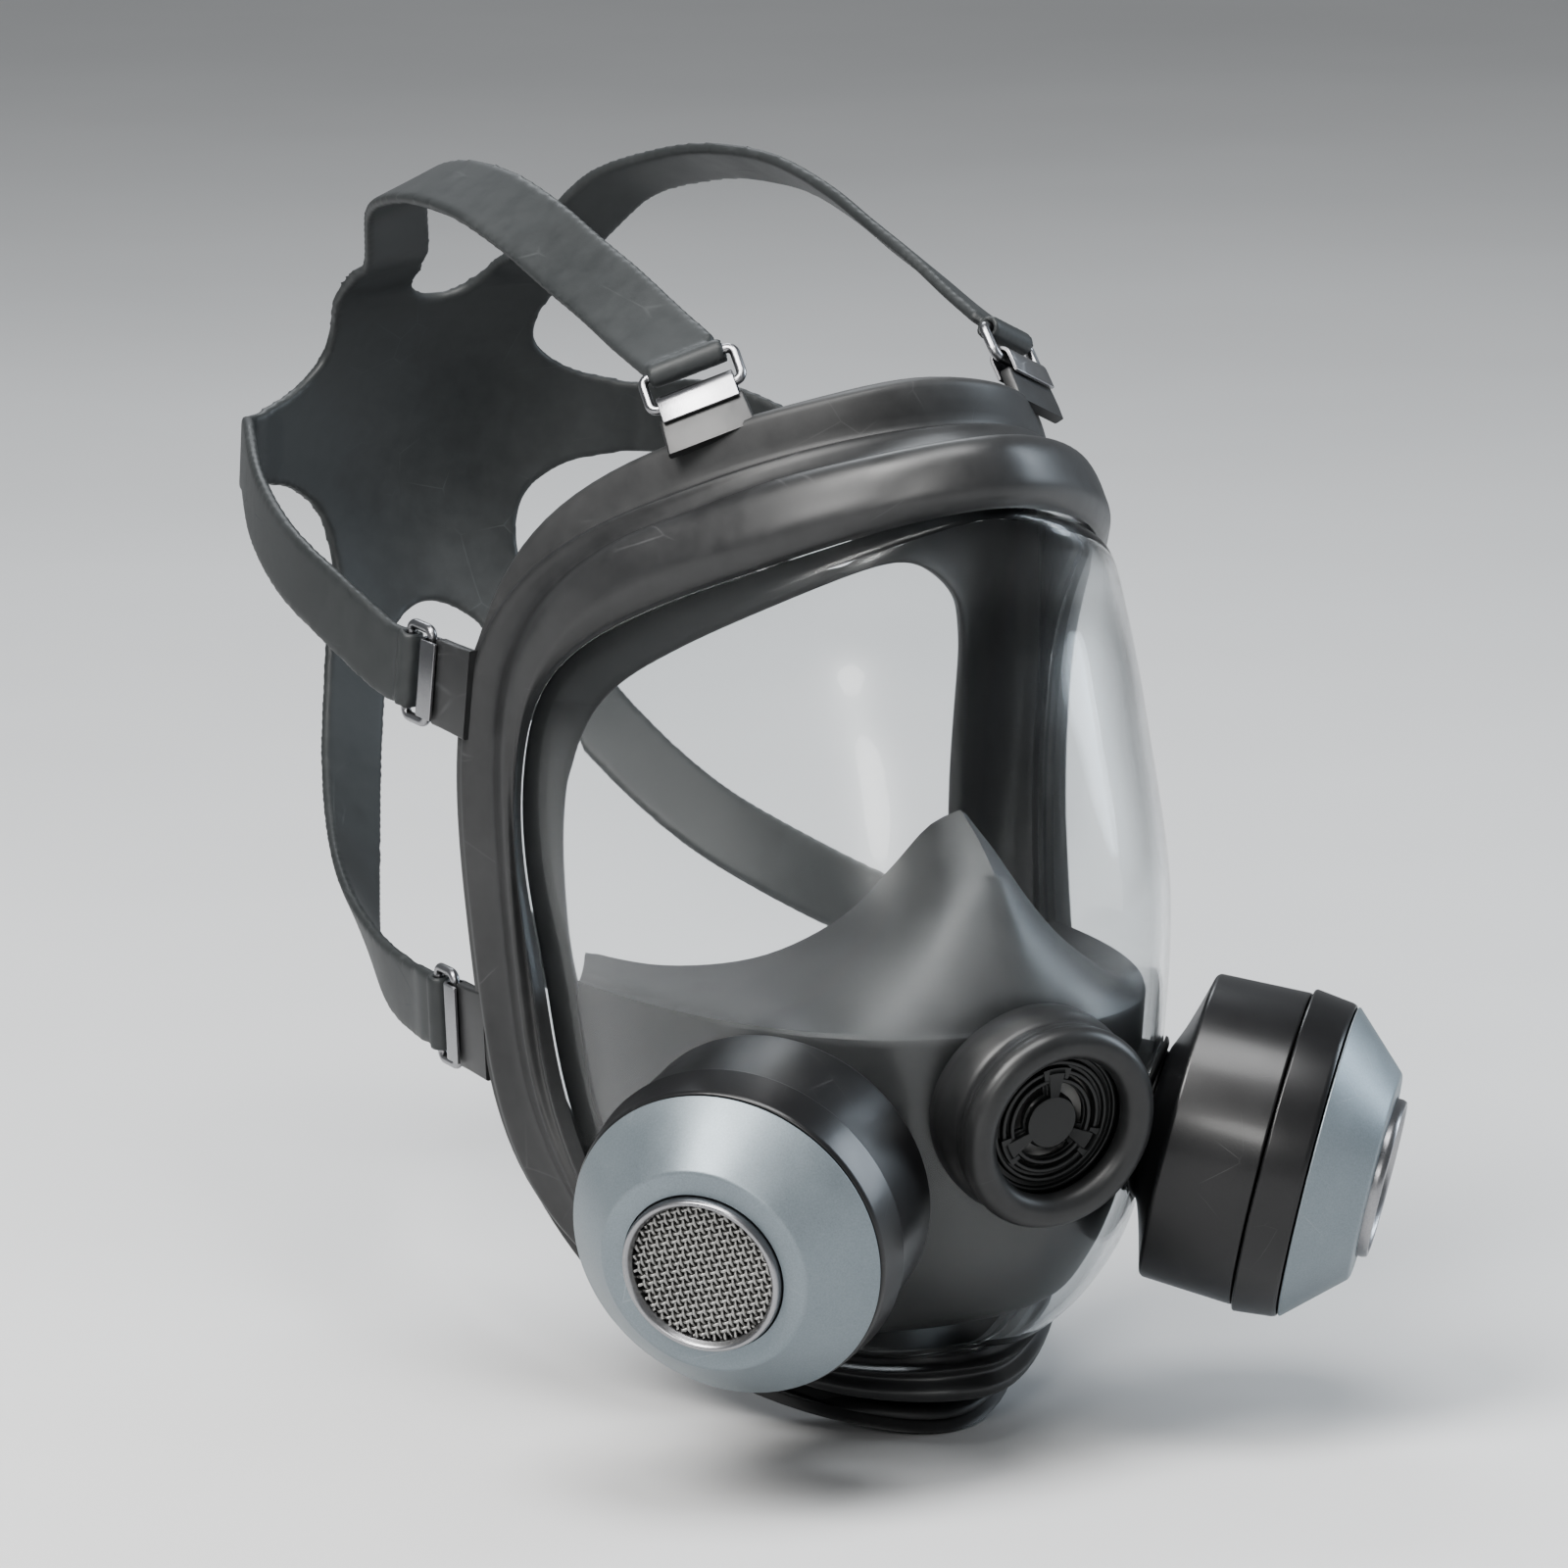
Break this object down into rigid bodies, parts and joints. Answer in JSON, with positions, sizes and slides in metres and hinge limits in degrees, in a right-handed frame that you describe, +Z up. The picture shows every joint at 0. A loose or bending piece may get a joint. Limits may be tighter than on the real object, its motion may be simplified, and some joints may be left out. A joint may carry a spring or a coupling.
{
  "type": "full face respirator",
  "caption": "Full face respirator: bulging clear visor in a rubber frame, face seal, nose cup, exhalation valve, side filters and a star-shaped rubber strap harness.",
  "frame": {"origin": "the middle of the face opening, on the wearer's centre line, between the visor and the head", "axes": "+Y from the visor towards the back of the wearer's head, +X to the wearer's left, +Z up"},
  "size_m": [0.2032, 0.3278, 0.2732],
  "materials": {
    "clear_visor": "clear polycarbonate, glossy",
    "frame_rubber": "semi-gloss moulded rubber, fine scratches",
    "seal_rubber": "satin moulded rubber",
    "cup_rubber": "matte soft rubber",
    "strap_rubber": "matte rubber with a faint dusty bloom",
    "gasket_rubber": "matte",
    "black_enamel": "gloss black enamel",
    "grey_enamel": "satin blue-grey metallic paint",
    "bright_steel": "bright plated steel",
    "steel_gauze": "woven wire gauze",
    "black_nylon": "matte moulded nylon",
    "silicone": "translucent silicone",
    "pleated_paper": "pleated filter paper",
    "carbon_bed": "packed granules"
  },
  "bodies": {
    "mask": {"exhalation_housing": "frame_rubber", "exhalation_seat": "black_nylon", "face_seal": "seal_rubber", "inhalation_seat_left": "black_nylon", "inhalation_seat_right": "black_nylon", "nose_cup": "cup_rubber", "port_ring_left": "black_nylon", "port_ring_right": "black_nylon", "sleeve_lower_left": "bright_steel", "sleeve_lower_right": "bright_steel", "sleeve_temple_left": "bright_steel", "sleeve_temple_right": "bright_steel", "sleeve_top_left": "bright_steel", "sleeve_top_right": "bright_steel", "tab_lower_left": "frame_rubber", "tab_lower_right": "frame_rubber", "tab_temple_left": "frame_rubber", "tab_temple_right": "frame_rubber", "tab_top_left": "frame_rubber", "tab_top_right": "frame_rubber", "valve_cover": "black_nylon", "visor": "clear_visor", "visor_frame": "frame_rubber"},
    "filter_gasket_left": {"filter_gasket_left": "gasket_rubber"},
    "filter_left": {"filter_can_left": "black_enamel", "filter_neck_left": "black_enamel", "filter_band_left": "black_enamel", "filter_cone_left": "grey_enamel", "filter_bezel_left": "bright_steel", "filter_gauze_left": "steel_gauze", "filter_pleats_left": "pleated_paper", "filter_carbon_left": "carbon_bed"},
    "inhalation_flap_left": {"inhalation_flap_left": "silicone"},
    "filter_gasket_right": {"filter_gasket_right": "gasket_rubber"},
    "filter_right": {"filter_can_right": "black_enamel", "filter_neck_right": "black_enamel", "filter_band_right": "black_enamel", "filter_cone_right": "grey_enamel", "filter_bezel_right": "bright_steel", "filter_gauze_right": "steel_gauze", "filter_pleats_right": "pleated_paper", "filter_carbon_right": "carbon_bed"},
    "inhalation_flap_right": {"inhalation_flap_right": "silicone"},
    "exhalation_flap": {"exhalation_flap": "silicone"},
    "ring_top_left": {"ring_top_left": "bright_steel"},
    "ring_temple_left": {"ring_temple_left": "bright_steel"},
    "ring_lower_left": {"ring_lower_left": "bright_steel"},
    "ring_top_right": {"ring_top_right": "bright_steel"},
    "ring_temple_right": {"ring_temple_right": "bright_steel"},
    "ring_lower_right": {"ring_lower_right": "bright_steel"},
    "harness": {"back_plate": "strap_rubber", "strap_top_left": "strap_rubber", "strap_temple_left": "strap_rubber", "strap_lower_left": "strap_rubber", "strap_top_right": "strap_rubber", "strap_temple_right": "strap_rubber", "strap_lower_right": "strap_rubber"}
  },
  "joints": [
    {"name": "filter_left_travel", "type": "slide", "parent": "mask", "child": "filter_gasket_left", "axis": [0.7601, -0.609, -0.2267], "range_m": [0, 0.0127]},
    {"name": "filter_left_turn", "type": "hinge", "parent": "filter_gasket_left", "child": "filter_left", "pos_m": [0.076, -0.0587, -0.0585], "axis": [0.7601, -0.609, -0.2267], "range_deg": [0, 1260]},
    {"name": "inhalation_flap_left_lift", "type": "slide", "parent": "mask", "child": "inhalation_flap_left", "axis": [-0.7601, 0.609, 0.2267], "range_m": [0, 0.0015], "stiffness_N_per_m": 20},
    {"name": "filter_right_travel", "type": "slide", "parent": "mask", "child": "filter_gasket_right", "axis": [-0.7601, -0.609, -0.2267], "range_m": [0, 0.0127]},
    {"name": "filter_right_turn", "type": "hinge", "parent": "filter_gasket_right", "child": "filter_right", "pos_m": [-0.076, -0.0587, -0.0585], "axis": [-0.7601, -0.609, -0.2267], "range_deg": [0, 1260]},
    {"name": "inhalation_flap_right_lift", "type": "slide", "parent": "mask", "child": "inhalation_flap_right", "axis": [0.7601, 0.609, 0.2267], "range_m": [0, 0.0015], "stiffness_N_per_m": 20},
    {"name": "exhalation_flap_lift", "type": "slide", "parent": "mask", "child": "exhalation_flap", "axis": [0, -0.9833, -0.1822], "range_m": [0, 0.002], "stiffness_N_per_m": 20},
    {"name": "ring_top_left_tilt", "type": "hinge", "parent": "mask", "child": "ring_top_left", "pos_m": [0.04137, 0.01632, 0.11463], "axis": [-0.8135, -0.4563, 0.3606], "range_deg": [-6, 6]},
    {"name": "ring_temple_left_tilt", "type": "hinge", "parent": "mask", "child": "ring_temple_left", "pos_m": [0.07958, 0.07397, 0.04507], "axis": [-0.0419, -0.0963, 0.9945], "range_deg": [-6, 6]},
    {"name": "ring_lower_left_tilt", "type": "hinge", "parent": "mask", "child": "ring_lower_left", "pos_m": [0.07299, 0.07489, -0.03568], "axis": [0.0605, -0.029, 0.9977], "range_deg": [-6, 6]},
    {"name": "ring_top_right_tilt", "type": "hinge", "parent": "mask", "child": "ring_top_right", "pos_m": [-0.04137, 0.01632, 0.11463], "axis": [-0.8135, 0.4563, -0.3606], "range_deg": [-6, 6]},
    {"name": "ring_temple_right_tilt", "type": "hinge", "parent": "mask", "child": "ring_temple_right", "pos_m": [-0.07958, 0.07397, 0.04507], "axis": [-0.0419, 0.0963, -0.9945], "range_deg": [-6, 6]},
    {"name": "ring_lower_right_tilt", "type": "hinge", "parent": "mask", "child": "ring_lower_right", "pos_m": [-0.07299, 0.07489, -0.03568], "axis": [0.0605, 0.029, -0.9977], "range_deg": [-6, 6]},
    {"name": "harness_stretch", "type": "slide", "parent": "mask", "child": "harness", "axis": [0, 1, 0], "range_m": [0, 0.03], "stiffness_N_per_m": 500, "deforming": ["strap_top_left", "strap_temple_left", "strap_lower_left", "strap_top_right", "strap_temple_right", "strap_lower_right"]}
  ],
  "couplings": [
    {"joint": "filter_left_travel", "follows": "filter_left_turn", "m_per_rad": 0.00057757},
    {"joint": "filter_right_travel", "follows": "filter_right_turn", "m_per_rad": 0.00057757}
  ]
}
